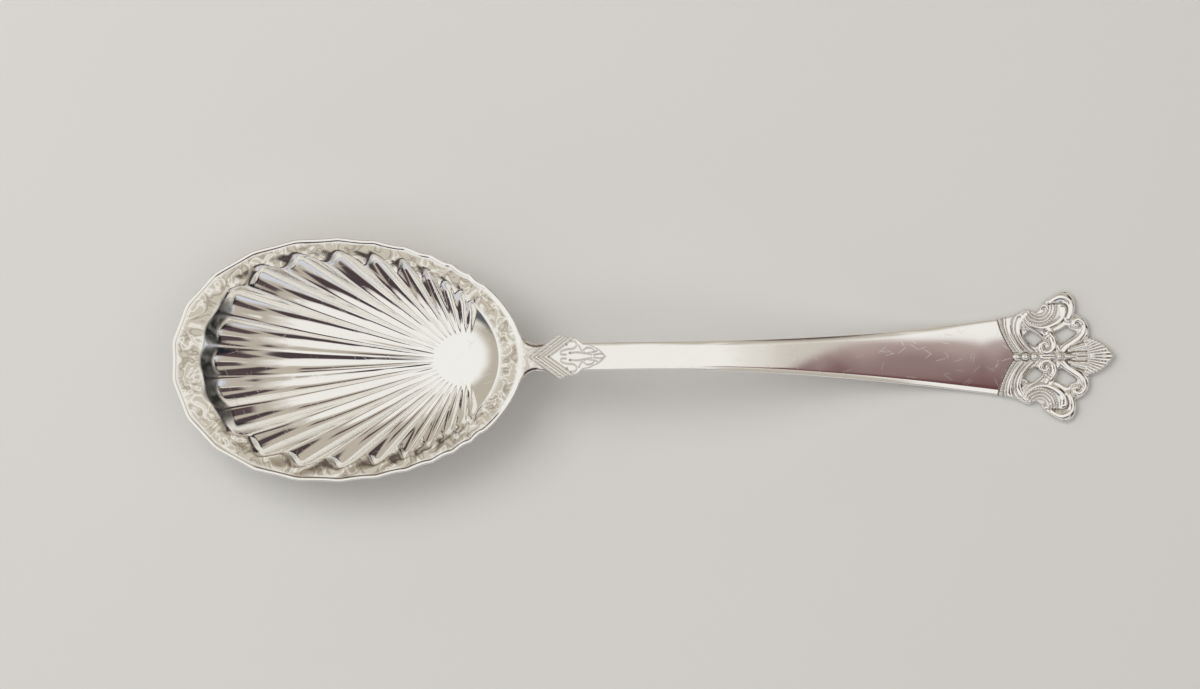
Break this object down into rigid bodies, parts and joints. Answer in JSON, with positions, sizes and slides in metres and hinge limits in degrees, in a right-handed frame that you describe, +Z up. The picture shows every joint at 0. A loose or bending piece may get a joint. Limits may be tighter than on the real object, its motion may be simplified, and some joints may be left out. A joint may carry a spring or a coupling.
{
  "type": "potato serving spoon",
  "caption": "Silver serving spoon with a shell-fluted oval bowl, a tapered bevelled stem, a cast shoulder ornament and a pierced scroll crown.",
  "frame": {"origin": "middle of the bounding box, on the surface that the spoon lies on", "axes": "+X along the spoon from the bowl to the crown, +Y across it, +Z up out of the open bowl"},
  "size_m": [0.24, 0.062, 0.0249],
  "materials": {
    "polished_silver": "polished",
    "struck_silver": "struck and lightly polished",
    "silver_solder": "filed flush"
  },
  "bodies": {
    "root": {"bowl": "polished_silver", "stem": "polished_silver", "shoulder_ornament": "struck_silver", "crown": "struck_silver", "crown_bead_1": "struck_silver", "crown_bead_2": "struck_silver", "crown_bead_3": "struck_silver", "crown_boss": "struck_silver", "neck_solder": "silver_solder", "crown_solder": "silver_solder"}
  },
  "joints": []
}
